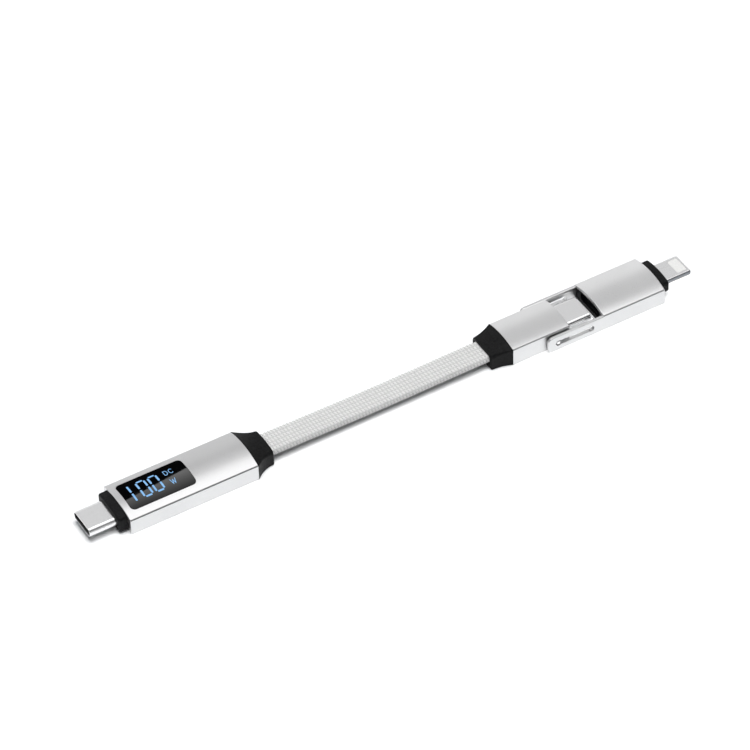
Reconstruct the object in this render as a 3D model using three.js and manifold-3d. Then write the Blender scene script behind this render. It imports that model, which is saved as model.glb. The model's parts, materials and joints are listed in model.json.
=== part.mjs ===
// A short flat charging cable with a power meter in one head and a swinging, sliding adapter on the other.
// Millimetres, +Z up. The cable runs along X: the meter head is at -X and the adapter at +X.
// The origin is on the surface the cable lies on, halfway between the tips of the two end plugs.
import * as THREE from 'three';
import { mergeVertices } from 'three/addons/utils/BufferGeometryUtils.js';
import Module from 'manifold-3d';

// ---- Driving dimensions ----

// Both heads and the adapter share one crowned section: flat underside, upright sides, arched top.
const BODY_WIDTH = 13.6;
const BODY_HEIGHT = 5.75;
const SIDE_HEIGHT = 4.5;
const EDGE = 0.25;
const WALL = 0.8;
const HALF_LENGTH = 84.37;

const FIT = 0.04;
const JOIN = 0.05;

const PLUG_WIDTH = 8.25;
const PLUG_THICKNESS = 2.4;
const PLUG_WALL = 0.25;
const PLUG_EXPOSED = 7.1;
const METER_PLUG_LENGTH = 12.2;
const HEAD_PLUG_LENGTH = 10.2;
const PLUG_RIM = 0.08;
const PLUG_Z = 2.75;
const TONGUE_WIDTH = 6.69;
const TONGUE_THICKNESS = 0.7;
const MOUTH_DEPTH = 5.6;
const CONTACT_PITCH = 0.5;
const CONTACTS_PER_ROW = 12;
const CONTACT_WIDTH = 0.25;
const CONTACT_GAP = 0.02;
const CONTACT_THICKNESS = 0.14;
const CONTACT_TIP_MARGIN = 1.2;
const CONTACT_TAIL = 1.6;
const COMB_BAR = 0.5;
const MOUTH_PLAY = 0.3;
const MOUTH_CORNER = 0.35;
const INSULATOR_MARGIN = 0.3;

// The black rings round the plugs: drop is how far the ring's top lies below the head's.
const METER_COLLAR = { width: 10.7, bottom: 0.4, drop: 0.3, corner: 0.9, length: 2.3 };
const ADAPTER_COLLAR = { width: 10.1, bottom: 1.1, drop: 0.6, corner: 1.2, length: 2.5 };
const COLLAR_DEPTH = 1.6;
const COLLAR_BEVEL = 0.35;
const MOUTH_CUT = 1.2;
const FRONT_WALL = 0.8;

const METER_LENGTH = 34.3;
const WINDOW_LENGTH = 17.5;
const WINDOW_WIDTH = 9.2;
const WINDOW_RADIUS = 1.2;
const WINDOW_MARGIN = 1.7;
const LENS_BOTTOM = 4.3;
const MODULE = { halfLength: 8.25, shift: 1.1, halfWidth: 4.3, bottom: 3.5 };

const BOOT_LENGTH = 5.55;
const BOOT_SPIGOT = 3.0;
const BOOT_END_WIDTH = 8.9;
const BOOT_END_HEIGHT = 4.85;
const BOOT_END_BOTTOM = 0.05;
const BOOT_OVERLAP = 0.4;
const CABLE_FIT = 0.08;

const CABLE_WIDTH = 7.2;
const CABLE_THICKNESS = 2.2;
const CABLE_Z = 2.7;
// The cable's middle line as [x, z], from inside one boot to inside the other.
const CABLE_ROUTE = [
  [-38.1, 2.7], [-35.2, 2.7], [-31, 2.68], [-26, 2.62], [-21, 2.54],
  [-15.5, 2.46], [-10, 2.41], [-5.1, 2.4], [0, 2.41], [5.3, 2.46],
  [10.8, 2.54], [15.8, 2.62], [20.8, 2.68], [25.5, 2.7], [27.9, 2.7],
];

const HEAD_REAR = 31.02;
const HEAD_LENGTH = 16.2;
const HEAD_WIDTH = 11.2;
const HEAD_WALL = 0.7;
const HEAD_PLUG_EXPOSED = 7.2;
const FRONT_PLATE = { depth: 1.3, setback: 0.1 };
const CORE_HALF_WIDTH = 4.7;
const INNER_GAP = 0.2;

const PIVOT_X = HEAD_REAR + 12.35;
const PIVOT_Z = 2.1;
const ROD_RADIUS = 0.55;
const ROD_CLEARANCE = 0.06;
const ROD_RECESS = 0.05;

const TRAVEL = 9.0;
const CLOSED_GAP = 0.15;
const ADAPTER_LENGTH = 17.9;
const ARM_THICKNESS = 1.0;
const ARM_HEIGHT = 4.4;
const ARM_TAIL = 3.0;
const ARM_RADIUS = 1.3;
const SLOT_HALF = 0.64;
const POCKET_RADIUS = 0.8;
const SLOT_EXTRA = 0.45;

const EIGHT_PIN_WIDTH = 6.69;
const EIGHT_PIN_THICKNESS = 1.5;
const EIGHT_PIN_ROOT = 2.6;
const PAD_LENGTH = 2.8;
const PAD_WIDTH = 4.8;
const PAD_MARGIN = 0.75;
const PAD_PITCH = 0.58;
const PAD_STRIPS = 8;
const PAD_STRIP_WIDTH = 0.36;
const PAD_CORNER = 0.45;
const PAD_FIT = 0.03;
const PAD_STRIP_MARGIN = 0.3;
const PAD_STRIP_DEPTH = 0.15;
const TIP_RADIUS = 0.55;
const EIGHT_PIN_CORNER = 0.3;

const RECEPTACLE_WIDTH = 8.45;
const RECEPTACLE_HEIGHT = 2.6;
const RECEPTACLE_WALL = 0.25;
const RECEPTACLE_SETBACK = 0.8;
const RECEPTACLE_DEPTH = 7.6;
const RECEPTACLE_BASE = 1.1;
const TONGUE_PLAY = 0.3;
const TONGUE_ROOT = 0.5;
const TONGUE_PAD = { depth: 0.1, margin: 0.4, tail: 0.6 };
const BEZEL_SETBACK = 0.25;
const BEZEL_THICKNESS = 2.35;

const END_CHAMFER = 0.2;
const CHIP_GAP = 0.03;
const METER_BOARD = { z0: 2.4, z1: 3.2, halfWidth: 5.2 };
const HEAD_BOARD = { z0: 2.72, z1: 3.32, halfWidth: 3.6 };
const ADAPTER_BOARD = { z0: 2.35, z1: 3.15, halfWidth: 4.6 };
const METER_CHIPS = {
  controller: { x0: -67.5, x1: -63.5, halfWidth: 2, height: 0.8 },
  resistor: { x0: -60.5, x1: -57.3, halfWidth: 1.6, height: 0.6 },
  powerSwitch: { x0: -54.5, x1: -51.5, halfWidth: 1.6, height: 0.8 },
};
const CAPACITOR = { x0: -49.4, x1: -47.6, halfWidth: 0.6, height: 0.7, pitch: 3 };
const MARKER_CHIP = { x0: 36.2, x1: 38.8, halfWidth: 1.3, height: 0.57 };
const AUTHENTICATION_CHIP = { offset: 1.4, length: 3, halfWidth: 1.5, height: 0.72 };
const TRAY = { offset: 2.6, halfWidth: 5.85, bottom: 0.9, top: 3.4, floor: 0.4, wall: 0.6 };

// ---- Places worked out from them ----

const SAGITTA = BODY_HEIGHT - SIDE_HEIGHT;
const CROWN_RADIUS = (BODY_WIDTH ** 2 / 4 + SAGITTA ** 2) / (2 * SAGITTA);
const CROWN_CENTRE = BODY_HEIGHT - CROWN_RADIUS;

const METER_FRONT = -HALF_LENGTH + PLUG_EXPOSED + METER_COLLAR.length;
const METER_REAR = METER_FRONT + METER_LENGTH;
const WINDOW_X = METER_FRONT + WINDOW_MARGIN + WINDOW_LENGTH / 2;
const HEAD_FRONT = HEAD_REAR + HEAD_LENGTH;
const HEAD_TIP = HEAD_FRONT + HEAD_PLUG_EXPOSED;
const ADAPTER_REAR = HEAD_FRONT + TRAVEL + CLOSED_GAP;
const ADAPTER_FRONT = ADAPTER_REAR + ADAPTER_LENGTH;

const METAL = { color: 0xd9dadb, roughness: 0.35, metalness: 1.0 };
const STEEL = { color: 0xc9cacc, roughness: 0.22, metalness: 1.0 };
const GOLD = { color: 0xd9b467, roughness: 0.3, metalness: 1.0 };
const BLACK = { color: 0x1c1c1e, roughness: 0.6, metalness: 0.0 };
const GLASS = { color: 0x050507, roughness: 0.05, metalness: 0.0 };
const BRAID = { color: 0xdfdfdd, roughness: 0.85, metalness: 0.0 };
const IVORY = { color: 0xe9e8e4, roughness: 0.5, metalness: 0.0 };
const BOARD = { color: 0x14523a, roughness: 0.5, metalness: 0.0 };
const CHIP = { color: 0x202124, roughness: 0.5, metalness: 0.0 };

// ---- Solid helpers ----

const wasm = await Module();
wasm.setup();

function solid(geometry) {
  geometry.deleteAttribute('normal');
  geometry.deleteAttribute('uv');
  const merged = mergeVertices(geometry, 1e-5);
  return new wasm.Manifold(new wasm.Mesh({
    numProp: 3,
    vertProperties: Float32Array.from(merged.attributes.position.array),
    triVerts: Uint32Array.from(merged.index.array),
  }));
}

function geometryOf(manifold) {
  const mesh = manifold.getMesh();
  const geometry = new THREE.BufferGeometry();
  const places = Float32Array.from(mesh.vertProperties);
  geometry.setAttribute('position', new THREE.BufferAttribute(places, 3));
  geometry.setIndex(new THREE.BufferAttribute(Uint32Array.from(mesh.triVerts), 1));
  geometry.computeVertexNormals();
  return geometry;
}

// A box from its lowest to its highest corner.
function box([x0, y0, z0], [x1, y1, z1]) {
  const geometry = new THREE.BoxGeometry(x1 - x0, y1 - y0, z1 - z0);
  geometry.translate((x0 + x1) / 2, (y0 + y1) / 2, (z0 + z1) / 2);
  return solid(geometry);
}

// An outline in the YZ plane, swept along X from x0 to x1. bevel chamfers both ends.
function barAlongX(outline, x0, x1, bevel = 0) {
  const geometry = new THREE.ExtrudeGeometry(new THREE.Shape(outline), {
    depth: x1 - x0 - 2 * bevel,
    bevelEnabled: bevel > 0,
    bevelSegments: 1,
    bevelThickness: bevel,
    bevelSize: bevel,
    bevelOffset: -bevel,
  });
  geometry.translate(0, 0, bevel);
  const toX = new THREE.Matrix4().makeBasis(
    new THREE.Vector3(0, 1, 0), new THREE.Vector3(0, 0, 1), new THREE.Vector3(1, 0, 0));
  geometry.applyMatrix4(toX);
  geometry.translate(x0, 0, 0);
  return solid(geometry);
}

// An outline given a straight-sided depth along its own Z.
function extrude(outline, depth) {
  return new THREE.ExtrudeGeometry(new THREE.Shape(outline), { depth, bevelEnabled: false });
}

// An outline in the XY plane, raised along Z from z0 to z1.
function prismAlongZ(outline, z0, z1) {
  const geometry = extrude(outline, z1 - z0);
  geometry.translate(0, 0, z0);
  return solid(geometry);
}

// An outline in the XZ plane, carried along Y from y0 to y1.
function prismAlongY(outline, y0, y1) {
  const geometry = extrude(outline, y1 - y0);
  geometry.rotateX(Math.PI / 2);
  geometry.translate(0, y1, 0);
  return solid(geometry);
}

// Points of an arc from one angle to another, in degrees, both ends included.
function arc(cx, cy, radius, from, to, steps) {
  const points = [];
  for (let i = 0; i <= steps; i += 1) {
    const angle = THREE.MathUtils.degToRad(from + (to - from) * i / steps);
    points.push(new THREE.Vector2(cx + radius * Math.cos(angle), cy + radius * Math.sin(angle)));
  }
  return points;
}

// A rectangle with round corners, centred at (cx, cy).
function roundedRectangle(cx, cy, width, height, radius, steps = 4) {
  const x = width / 2 - radius;
  const y = height / 2 - radius;
  return [
    ...arc(cx + x, cy + y, radius, 0, 90, steps),
    ...arc(cx - x, cy + y, radius, 90, 180, steps),
    ...arc(cx - x, cy - y, radius, 180, 270, steps),
    ...arc(cx + x, cy - y, radius, 270, 360, steps),
  ];
}

// The straight-sided section with two half-round ends that plugs and the cable have.
function stadium(cx, cy, width, height, steps = 8) {
  const x = (width - height) / 2;
  return [
    ...arc(cx + x, cy, height / 2, -90, 90, steps),
    ...arc(cx - x, cy, height / 2, 90, 270, steps),
  ];
}

// The height of the arched top at a distance y from the middle, lowered by drop.
function crownHeight(y, drop = 0) {
  return CROWN_CENTRE + Math.sqrt((CROWN_RADIUS - drop) ** 2 - y ** 2);
}

// The shared crowned section: width, underside height, drop below the outer crown and corner size.
function crownedSection(width, bottom, drop, corner, cornerSteps = 1) {
  const half = width / 2;
  const inner = half - corner;
  const shoulder = crownHeight(inner, drop);
  const upper = shoulder - corner;
  const lean = THREE.MathUtils.radToDeg(Math.asin(inner / (CROWN_RADIUS - drop)));
  const arch = arc(0, CROWN_CENTRE, CROWN_RADIUS - drop, 90 - lean, 90 + lean, 12);
  return [
    ...arc(inner, upper, corner, 0, 90, cornerSteps).slice(0, -1),
    ...arch,
    ...arc(-inner, upper, corner, 90, 180, cornerSteps).slice(1),
    ...arc(-inner, bottom + corner, corner, 180, 270, cornerSteps),
    ...arc(inner, bottom + corner, corner, 270, 360, cornerSteps),
  ];
}

const part = new THREE.Group();

function add(name, manifold, look, parent = part) {
  const mesh = new THREE.Mesh(geometryOf(manifold), new THREE.MeshStandardMaterial(look));
  mesh.name = name;
  parent.add(mesh);
  return mesh;
}

// ---- Type-C plug: tip at the group's origin, facing +X ----

// Twelve fingers side by side, joined by a bar at their rear end. grow makes the groove they lie in.
function contactComb(rearX, tipX, z0, z1, grow = 0) {
  const reach = (CONTACTS_PER_ROW - 1) * CONTACT_PITCH / 2;
  const half = CONTACT_WIDTH / 2 + grow;
  const barX = rearX + Math.sign(tipX - rearX) * COMB_BAR;
  const slab = (xa, xb, y0, y1) => box(
    [Math.min(xa, xb) - grow, y0, z0 - grow], [Math.max(xa, xb) + grow, y1, z1 + grow]);
  let comb = slab(rearX, barX, -reach - half, reach + half);
  for (let i = 0; i < CONTACTS_PER_ROW; i += 1) {
    const y = -reach + i * CONTACT_PITCH;
    comb = comb.add(slab(rearX, tipX, y - half, y + half));
  }
  return comb;
}

function typeCPlug(prefix, length, parent) {
  const shellOuter = barAlongX(stadium(0, 0, PLUG_WIDTH, PLUG_THICKNESS), -length, 0, PLUG_RIM);
  const shellInner = barAlongX(
    stadium(0, 0, PLUG_WIDTH - 2 * PLUG_WALL, PLUG_THICKNESS - 2 * PLUG_WALL), -length - 1, 1);
  add(`${prefix}_plug_shell`, shellOuter.subtract(shellInner), STEEL, parent);

  const mouthHeight = TONGUE_THICKNESS + MOUTH_PLAY;
  const insulatorHeight = PLUG_THICKNESS - 2 * PLUG_WALL - 2 * FIT;
  const insulatorWidth = PLUG_WIDTH - 2 * PLUG_WALL - 2 * FIT;
  const block = barAlongX(
    stadium(0, 0, insulatorWidth, insulatorHeight), -length + INSULATOR_MARGIN, -INSULATOR_MARGIN);
  const mouth = barAlongX(
    roundedRectangle(0, 0, TONGUE_WIDTH + MOUTH_PLAY, mouthHeight, MOUTH_CORNER), -MOUTH_DEPTH, 1);
  const upperZ = mouthHeight / 2;
  const rows = [
    ['upper', upperZ, upperZ + CONTACT_THICKNESS],
    ['lower', -upperZ - CONTACT_THICKNESS, -upperZ],
  ];
  let insulator = block.subtract(mouth);
  for (const [row, z0, z1] of rows) {
    const rear = -MOUTH_DEPTH - CONTACT_TAIL;
    const tip = -CONTACT_TIP_MARGIN;
    insulator = insulator.subtract(contactComb(rear, tip, z0, z1, CONTACT_GAP));
    add(`${prefix}_plug_contacts_${row}`, contactComb(rear, tip, z0, z1), GOLD, parent);
  }
  add(`${prefix}_plug_insulator`, insulator, BLACK, parent);
}

// ---- Collar: the black ring that a plug comes out of, with a flange inside the shell ----

function collarOutline(size, grow = 0) {
  return crownedSection(size.width + 2 * grow, size.bottom - grow, size.drop - grow, size.corner, 4);
}

// face is the shell's outer face; outward is +1 when the plug points along +X and -1 along -X.
function collar(size, face, outward, opening) {
  const span = (from, to) => [Math.min(from, to), Math.max(from, to)];
  const [ringStart, ringEnd] = span(face + outward * size.length, face - outward * (MOUTH_CUT - JOIN));
  const [flangeStart, flangeEnd] = span(face - outward * (FRONT_WALL + JOIN), face - outward * COLLAR_DEPTH);
  const ring = barAlongX(collarOutline(size), ringStart, ringEnd, COLLAR_BEVEL);
  const flange = barAlongX(
    crownedSection(BODY_WIDTH - 2 * WALL - 2 * FIT, WALL + FIT, WALL + FIT, EDGE), flangeStart, flangeEnd);
  return ring.add(flange).subtract(opening);
}

// ---- Boot: the black piece that narrows from a head to the cable ----

// Points of a concave flare from (x0, y0) at the head to (x1, y1) at the cable.
function flare(x0, y0, x1, y1, steps = 8) {
  const points = [];
  for (let i = 0; i <= steps; i += 1) {
    const t = i / steps;
    points.push(new THREE.Vector2(x0 + (x1 - x0) * t, y1 + (y0 - y1) * (1 - t) ** 2));
  }
  return points;
}

// face is the head's rear face, outward the direction the cable leaves in, and wall the head's wall.
function boot(face, outward, headWidth, wall) {
  const start = face + outward * JOIN;
  const end = face + outward * BOOT_LENGTH;
  const side = flare(start, headWidth / 2, end, BOOT_END_WIDTH / 2);
  const plan = [...side, ...side.map((p) => new THREE.Vector2(p.x, -p.y)).reverse()];
  const top = flare(start, BODY_HEIGHT, end, BOOT_END_HEIGHT);
  const underside = flare(start, 0, end, BOOT_END_BOTTOM).reverse();
  const profile = [...top, ...underside];
  const x0 = Math.min(start, end);
  const x1 = Math.max(start, end);
  const block = barAlongX(crownedSection(headWidth, 0, 0, EDGE), x0, x1)
    .intersect(prismAlongZ(plan, -1, BODY_HEIGHT + 1))
    .intersect(prismAlongY(profile, -headWidth, headWidth));
  const spigotEnd = face - outward * BOOT_SPIGOT;
  const overlap = face + outward * (JOIN + BOOT_OVERLAP);
  const spigot = barAlongX(
    crownedSection(headWidth - 2 * wall - 2 * FIT, wall + FIT, wall + FIT, EDGE),
    Math.min(spigotEnd, overlap), Math.max(spigotEnd, overlap));
  const slot = barAlongX(
    stadium(0, CABLE_Z, CABLE_WIDTH + 2 * CABLE_FIT, CABLE_THICKNESS + 2 * CABLE_FIT),
    Math.min(spigotEnd, end) - 1, Math.max(spigotEnd, end) + 1);
  return block.add(spigot).subtract(slot);
}

// ---- Meter head ----

const meterInner = crownedSection(BODY_WIDTH - 2 * WALL, WALL, WALL, EDGE);
const windowOutline = (grow) => roundedRectangle(
  WINDOW_X, 0, WINDOW_LENGTH + 2 * grow, WINDOW_WIDTH + 2 * grow, WINDOW_RADIUS + grow, 6);

function meterShell() {
  const outer = barAlongX(crownedSection(BODY_WIDTH, 0, 0, EDGE), METER_FRONT, METER_REAR, END_CHAMFER);
  const inner = barAlongX(meterInner, METER_FRONT + FRONT_WALL, METER_REAR + 1);
  const mouth = barAlongX(collarOutline(METER_COLLAR, FIT), METER_FRONT - 1, METER_FRONT + MOUTH_CUT);
  const displayWindow = prismAlongZ(windowOutline(0), LENS_BOTTOM - 0.5, BODY_HEIGHT + 1);
  return outer.subtract(inner).subtract(mouth).subtract(displayWindow);
}

function displayLens() {
  const slab = barAlongX(crownedSection(BODY_WIDTH - 1, 1, 0.02, EDGE), METER_FRONT, METER_REAR);
  return slab.intersect(prismAlongZ(windowOutline(-FIT), LENS_BOTTOM, BODY_HEIGHT + 1));
}

add('meter_shell', meterShell(), METAL);
add('display_lens', displayLens(), GLASS);

const moduleX0 = WINDOW_X - MODULE.halfLength + MODULE.shift;
const moduleX1 = WINDOW_X + MODULE.halfLength + MODULE.shift;
add('display_module',
  box([moduleX0, -MODULE.halfWidth, MODULE.bottom], [moduleX1, MODULE.halfWidth, LENS_BOTTOM - FIT]), CHIP);

const plugOpening = (x0, x1) => barAlongX(
  stadium(0, PLUG_Z, PLUG_WIDTH + 2 * FIT, PLUG_THICKNESS + 2 * FIT), x0, x1);
add('meter_collar',
  collar(METER_COLLAR, METER_FRONT, -1, plugOpening(METER_FRONT - 4, METER_FRONT + 4)), BLACK);

const meterPlug = new THREE.Group();
meterPlug.position.set(-HALF_LENGTH, 0, PLUG_Z);
meterPlug.rotation.z = Math.PI;
part.add(meterPlug);
typeCPlug('meter', METER_PLUG_LENGTH, meterPlug);

const boardX0 = -HALF_LENGTH + METER_PLUG_LENGTH + INNER_GAP;
const boardX1 = METER_REAR - BOOT_SPIGOT - 3 * INNER_GAP;

// A board from x0 to x1 with a given lower and upper face.
function board({ z0, z1, halfWidth }, x0, x1) {
  return box([x0, -halfWidth, z0], [x1, halfWidth, z1]);
}
add('meter_board', board(METER_BOARD, boardX0, boardX1), BOARD);

function meterTray() {
  const x0 = METER_FRONT + TRAY.offset;
  const inside = TRAY.halfWidth - TRAY.wall;
  const outer = box([x0, -TRAY.halfWidth, TRAY.bottom], [boardX1, TRAY.halfWidth, TRAY.top]);
  const hollow = box([x0 - 1, -inside, TRAY.bottom + TRAY.floor], [boardX1 + 1, inside, TRAY.top + 1]);
  return outer.subtract(hollow);
}
add('meter_tray', meterTray(), BLACK);

// A chip hanging under the meter's board, centred at y.
function hungChip({ x0, x1, halfWidth, height }, y = 0) {
  const top = METER_BOARD.z0 - CHIP_GAP;
  return box([x0, y - halfWidth, top - height], [x1, y + halfWidth, top]);
}
add('meter_controller', hungChip(METER_CHIPS.controller), CHIP);
add('current_sense_resistor', hungChip(METER_CHIPS.resistor), STEEL);
add('power_switch', hungChip(METER_CHIPS.powerSwitch), CHIP);
for (const i of [-1, 0, 1]) {
  add(`meter_capacitor_${i + 2}`, hungChip(CAPACITOR, i * CAPACITOR.pitch), BOARD);
}

add('meter_boot', boot(METER_REAR, 1, BODY_WIDTH, WALL), BLACK);

// ---- Cable: one flat length from inside one boot to inside the other ----

function braidedCable() {
  const last = CABLE_ROUTE.length - 1;
  const section = new THREE.Shape(stadium(0, 0, CABLE_WIDTH, CABLE_THICKNESS, 5));
  const geometry = new THREE.ExtrudeGeometry(section, { depth: last, steps: last, bevelEnabled: false });
  const places = geometry.attributes.position;
  for (let i = 0; i < places.count; i += 1) {
    const [x, z] = CABLE_ROUTE[Math.round(places.getZ(i))];
    places.setXYZ(i, x, places.getX(i), z + places.getY(i));
  }
  return solid(geometry);
}
add('braided_cable', braidedCable(), BRAID);

// ---- Second head ----

function headShell() {
  const outer = barAlongX(crownedSection(HEAD_WIDTH, 0, 0, EDGE), HEAD_REAR, HEAD_FRONT, END_CHAMFER);
  const inner = barAlongX(
    crownedSection(HEAD_WIDTH - 2 * HEAD_WALL, HEAD_WALL, HEAD_WALL, EDGE), HEAD_REAR - 1, HEAD_FRONT + 1);
  return outer.subtract(inner).subtract(rodAlongY(ROD_RADIUS + ROD_CLEARANCE, HEAD_WIDTH));
}

// A round bar through the pivot, reaching the same distance to both sides.
function rodAlongY(radius, reach) {
  const geometry = new THREE.CylinderGeometry(radius, radius, 2 * reach, 32);
  geometry.translate(PIVOT_X, 0, PIVOT_Z);
  return solid(geometry);
}

add('head_shell', headShell(), METAL);
add('head_boot', boot(HEAD_REAR, -1, HEAD_WIDTH, HEAD_WALL), BLACK);

const headInnerWidth = HEAD_WIDTH - 2 * HEAD_WALL - 2 * FIT;
const frontPlate = barAlongX(
  crownedSection(headInnerWidth, HEAD_WALL + FIT, HEAD_WALL + FIT, EDGE),
  HEAD_FRONT - FRONT_PLATE.depth, HEAD_FRONT - FRONT_PLATE.setback);
add('head_front_plate', frontPlate.subtract(plugOpening(HEAD_FRONT - 3, HEAD_FRONT + 1)), BLACK);

const headPlug = new THREE.Group();
headPlug.position.set(HEAD_TIP, 0, PLUG_Z);
part.add(headPlug);
typeCPlug('head', HEAD_PLUG_LENGTH, headPlug);

const headBoardX0 = HEAD_REAR + BOOT_SPIGOT + 2 * INNER_GAP;
const headBoardX1 = HEAD_TIP - HEAD_PLUG_LENGTH - INNER_GAP;
add('head_board', board(HEAD_BOARD, headBoardX0, headBoardX1), BOARD);

// A chip standing on a board, from x0 to x1.
function standingChip({ z1 }, x0, x1, { halfWidth, height }) {
  return box([x0, -halfWidth, z1 + CHIP_GAP], [x1, halfWidth, z1 + CHIP_GAP + height]);
}
add('cable_marker_chip', standingChip(HEAD_BOARD, MARKER_CHIP.x0, MARKER_CHIP.x1, MARKER_CHIP), CHIP);

const coreX1 = PIVOT_X - ROD_RADIUS - INNER_GAP;
add('head_core',
  box([headBoardX0, -CORE_HALF_WIDTH, HEAD_WALL + 0.1], [coreX1, CORE_HALF_WIDTH, HEAD_BOARD.z0 - CHIP_GAP]),
  BLACK);

// ---- Pivot: one rod through the head, with its ends in the slots of the arms ----

add('pivot_rod', rodAlongY(ROD_RADIUS, BODY_WIDTH / 2 - ROD_RECESS), STEEL);

// ---- Adapter ----

const ARM_SIDES = [-1, 1];

function armOutline() {
  const x0 = PIVOT_X - ARM_TAIL;
  const x1 = ADAPTER_REAR + 0.8;
  return [
    new THREE.Vector2(x1, 0),
    new THREE.Vector2(x1, ARM_HEIGHT),
    ...arc(x0 + ARM_RADIUS, ARM_HEIGHT - ARM_RADIUS, ARM_RADIUS, 90, 180, 5),
    ...arc(x0 + ARM_RADIUS, ARM_RADIUS, ARM_RADIUS, 180, 270, 5),
  ];
}

// The slot that the rod runs in: a channel with a wider round pocket at each end.
function slotCut() {
  const farPocket = PIVOT_X + TRAVEL + SLOT_EXTRA;
  const channel = prismAlongY(
    [
      new THREE.Vector2(PIVOT_X, PIVOT_Z - SLOT_HALF),
      new THREE.Vector2(farPocket, PIVOT_Z - SLOT_HALF),
      new THREE.Vector2(farPocket, PIVOT_Z + SLOT_HALF),
      new THREE.Vector2(PIVOT_X, PIVOT_Z + SLOT_HALF),
    ], -BODY_WIDTH, BODY_WIDTH);
  const pocket = (x) => prismAlongY(arc(x, PIVOT_Z, POCKET_RADIUS, 0, 345, 23), -BODY_WIDTH, BODY_WIDTH);
  return channel.add(pocket(PIVOT_X)).add(pocket(farPocket));
}

function adapterShell() {
  const bar = barAlongX(crownedSection(BODY_WIDTH, 0, 0, EDGE), ADAPTER_REAR, ADAPTER_FRONT, END_CHAMFER);
  const outline = armOutline();
  let shell = bar;
  for (const side of ARM_SIDES) {
    const outer = side * BODY_WIDTH / 2;
    const inner = outer - side * ARM_THICKNESS;
    shell = shell.add(prismAlongY(outline, Math.min(outer, inner), Math.max(outer, inner)));
  }
  const cavity = barAlongX(meterInner, ADAPTER_REAR - 0.01, ADAPTER_FRONT - FRONT_WALL);
  const mouth = barAlongX(collarOutline(ADAPTER_COLLAR, FIT), ADAPTER_FRONT - MOUTH_CUT, ADAPTER_FRONT + 1);
  return shell.subtract(cavity).subtract(mouth).subtract(slotCut());
}
add('adapter_shell', adapterShell(), METAL);

const eightPinOpening = (grow, x0, x1) => barAlongX(
  roundedRectangle(0, PLUG_Z, EIGHT_PIN_WIDTH + 2 * grow, EIGHT_PIN_THICKNESS + 2 * grow, EIGHT_PIN_CORNER),
  x0, x1);
add('adapter_collar',
  collar(ADAPTER_COLLAR, ADAPTER_FRONT, 1, eightPinOpening(FIT, ADAPTER_FRONT - 5, ADAPTER_FRONT + 5)),
  BLACK);

const receptacleX0 = ADAPTER_REAR + RECEPTACLE_SETBACK;
const receptacleX1 = receptacleX0 + RECEPTACLE_DEPTH;
const tongueBase = receptacleX1 - RECEPTACLE_BASE;

function rearBezel() {
  const bezelX1 = ADAPTER_REAR + BEZEL_SETBACK + BEZEL_THICKNESS;
  const block = barAlongX(
    crownedSection(BODY_WIDTH - 2 * WALL - 2 * FIT, WALL + FIT, WALL + FIT, EDGE),
    ADAPTER_REAR + BEZEL_SETBACK, bezelX1);
  const opening = stadium(0, PLUG_Z, RECEPTACLE_WIDTH, RECEPTACLE_HEIGHT);
  const grown = RECEPTACLE_WALL * 2 + 2 * FIT;
  const seat = stadium(0, PLUG_Z, RECEPTACLE_WIDTH + grown, RECEPTACLE_HEIGHT + grown);
  return block
    .subtract(barAlongX(opening, ADAPTER_REAR - 1, bezelX1 + 1))
    .subtract(barAlongX(seat, receptacleX0 - FIT, bezelX1 + 1));
}
add('adapter_bezel', rearBezel(), BLACK);

function receptacleShell() {
  const outer = stadium(
    0, PLUG_Z, RECEPTACLE_WIDTH + 2 * RECEPTACLE_WALL, RECEPTACLE_HEIGHT + 2 * RECEPTACLE_WALL);
  const inner = stadium(0, PLUG_Z, RECEPTACLE_WIDTH, RECEPTACLE_HEIGHT);
  return barAlongX(outer, receptacleX0, receptacleX1)
    .subtract(barAlongX(inner, receptacleX0 - 1, receptacleX1 + 1));
}
add('receptacle_shell', receptacleShell(), STEEL);

// The tongue is a thin blade on a base that closes the receptacle's back.
const tongueTip = tongueBase - MOUTH_DEPTH + TONGUE_PLAY;

function tonguePads(side, grow = 0) {
  const face = PLUG_Z + side * TONGUE_THICKNESS / 2;
  const z0 = Math.min(face, face - side * TONGUE_PAD.depth);
  return contactComb(
    tongueBase + TONGUE_PAD.tail, tongueTip + TONGUE_PAD.margin, z0, z0 + TONGUE_PAD.depth, grow);
}

function receptacleTongue() {
  const blade = box(
    [tongueTip, -TONGUE_WIDTH / 2, PLUG_Z - TONGUE_THICKNESS / 2],
    [tongueBase + TONGUE_ROOT, TONGUE_WIDTH / 2, PLUG_Z + TONGUE_THICKNESS / 2]);
  const base = barAlongX(
    stadium(0, PLUG_Z, RECEPTACLE_WIDTH - 2 * FIT, RECEPTACLE_HEIGHT - 2 * FIT),
    tongueBase, receptacleX1 - FIT);
  return blade.add(base).subtract(tonguePads(1, CONTACT_GAP)).subtract(tonguePads(-1, CONTACT_GAP));
}
add('receptacle_tongue', receptacleTongue(), BLACK);
add('receptacle_contacts_upper', tonguePads(1), GOLD);
add('receptacle_contacts_lower', tonguePads(-1), GOLD);

const eightPinX0 = ADAPTER_FRONT - EIGHT_PIN_ROOT;
add('adapter_board',
  board(ADAPTER_BOARD, receptacleX1 + INNER_GAP / 2, eightPinX0 - INNER_GAP / 2), BOARD);
const chipX0 = receptacleX1 + AUTHENTICATION_CHIP.offset;
add('authentication_chip',
  standingChip(ADAPTER_BOARD, chipX0, chipX0 + AUTHENTICATION_CHIP.length, AUTHENTICATION_CHIP), CHIP);

// ---- Eight-pin plug: a metal frame round a plastic pad, blank on top, with the contacts underneath ----

const padX1 = HALF_LENGTH - PAD_MARGIN;
const padX0 = padX1 - PAD_LENGTH;
const padOutline = (grow) => roundedRectangle(
  (padX0 + padX1) / 2, 0, PAD_LENGTH + 2 * grow, PAD_WIDTH + 2 * grow, PAD_CORNER + grow);

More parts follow.
